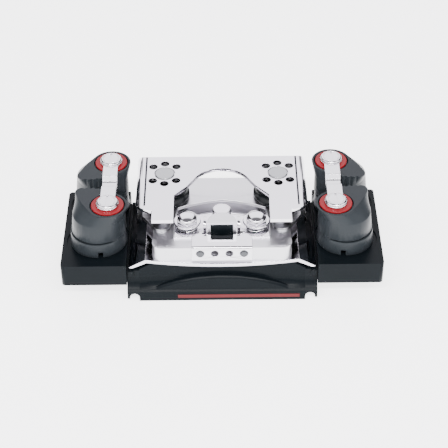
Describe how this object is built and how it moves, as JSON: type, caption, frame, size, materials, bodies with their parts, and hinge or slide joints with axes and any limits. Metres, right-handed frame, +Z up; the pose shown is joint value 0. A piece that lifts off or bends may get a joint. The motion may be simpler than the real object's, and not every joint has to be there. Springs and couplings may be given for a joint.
{
  "type": "mainsheet traveller car",
  "caption": "Windward-sheeting mainsheet traveller car with a sheave carriage and a cam cleat at each end, for a mid-range track.",
  "frame": {"origin": "middle of the car, level with its flat underside and on the centreline of the track channel", "axes": "+X along the track to the right, +Y to the back of the car, +Z up"},
  "size_m": [0.1722, 0.0694, 0.0541],
  "materials": {
    "black_anodised": "satin hard-anodised aluminium",
    "black_moulding": "satin moulded nylon",
    "bearing_ball": "smooth acetal balls",
    "red_stripe": "satin printed stripe",
    "polished_steel": "mirror-polished stainless steel",
    "screw_steel": "polished stainless fasteners",
    "red_washer": "satin moulded washer",
    "cam_alloy": "satin hard-anodised grey aluminium"
  },
  "bodies": {
    "car": {"car_body": "black_anodised", "end_cap_left": "black_moulding", "end_cap_right": "black_moulding", "cleat_base_left": "black_moulding", "cleat_base_right": "black_moulding", "ball_keepers": "black_moulding", "wing_clips": "black_moulding", "bearing_balls_front": "bearing_ball", "bearing_balls_back": "bearing_ball", "colour_stripes": "red_stripe", "deck_pan": "polished_steel", "guide_bar": "polished_steel", "guide_bracket": "polished_steel", "toggle_ears": "polished_steel", "king_bolt": "polished_steel", "hold_down_bolts": "polished_steel", "bolt_washers": "polished_steel", "pan_screws": "screw_steel", "bracket_screws": "screw_steel", "toggle_pin": "screw_steel", "bolt_springs": "screw_steel", "base_screws_left": "screw_steel", "base_screws_right": "screw_steel", "cam_posts": "screw_steel", "cam_springs": "screw_steel", "strap_left": "screw_steel", "strap_right": "screw_steel", "strap_screws": "screw_steel", "cam_washers": "red_washer"},
    "carriage": {"top_plate": "polished_steel", "plate_seals": "black_moulding", "cheek_plate": "polished_steel", "carriage_posts": "polished_steel", "tab_buttons": "polished_steel", "sheave_axles": "polished_steel"},
    "sheave_left": {"sheave_left": "black_moulding", "sheave_balls_left": "bearing_ball"},
    "sheave_right": {"sheave_right": "black_moulding", "sheave_balls_right": "bearing_ball"},
    "cam_left_front": {"cam_left_front": "cam_alloy", "cam_disc_left_front": "cam_alloy", "cam_balls_left_front": "bearing_ball"},
    "cam_left_back": {"cam_left_back": "cam_alloy", "cam_disc_left_back": "cam_alloy", "cam_balls_left_back": "bearing_ball"},
    "cam_right_front": {"cam_right_front": "cam_alloy", "cam_disc_right_front": "cam_alloy", "cam_balls_right_front": "bearing_ball"},
    "cam_right_back": {"cam_right_back": "cam_alloy", "cam_disc_right_back": "cam_alloy", "cam_balls_right_back": "bearing_ball"},
    "toggle": {"toggle": "polished_steel", "toggle_block": "black_moulding"}
  },
  "joints": [
    {"name": "carriage_slide", "type": "slide", "parent": "car", "child": "carriage", "axis": [1, 0, 0], "range_m": [-0.0015, 0.0015]},
    {"name": "sheave_left_spin", "type": "hinge", "parent": "carriage", "child": "sheave_left", "pos_m": [-0.0311, 0.0194, 0.0377], "axis": [0, 0, 1], "continuous": true},
    {"name": "sheave_right_spin", "type": "hinge", "parent": "carriage", "child": "sheave_right", "pos_m": [0.0311, 0.0194, 0.0377], "axis": [0, 0, 1], "continuous": true},
    {"name": "cam_left_front_swing", "type": "hinge", "parent": "car", "child": "cam_left_front", "pos_m": [-0.0604, -0.0139, 0.0379], "axis": [0, 0, 1], "range_deg": [0, 45], "stiffness_Nm_per_rad": 0.02, "springref_deg": -20.05},
    {"name": "cam_left_back_swing", "type": "hinge", "parent": "car", "child": "cam_left_back", "pos_m": [-0.0604, 0.0241, 0.0379], "axis": [0, 0, -1], "range_deg": [0, 45], "stiffness_Nm_per_rad": 0.02, "springref_deg": -20.05},
    {"name": "cam_right_front_swing", "type": "hinge", "parent": "car", "child": "cam_right_front", "pos_m": [0.0604, -0.0139, 0.0379], "axis": [0, 0, -1], "range_deg": [0, 45], "stiffness_Nm_per_rad": 0.02, "springref_deg": -20.05},
    {"name": "cam_right_back_swing", "type": "hinge", "parent": "car", "child": "cam_right_back", "pos_m": [0.0604, 0.0241, 0.0379], "axis": [0, 0, 1], "range_deg": [0, 45], "stiffness_Nm_per_rad": 0.02, "springref_deg": -20.05},
    {"name": "toggle_tilt", "type": "hinge", "parent": "car", "child": "toggle", "pos_m": [0, -0.0145, 0.0305], "axis": [1, 0, 0], "range_deg": [-9, 12]}
  ]
}
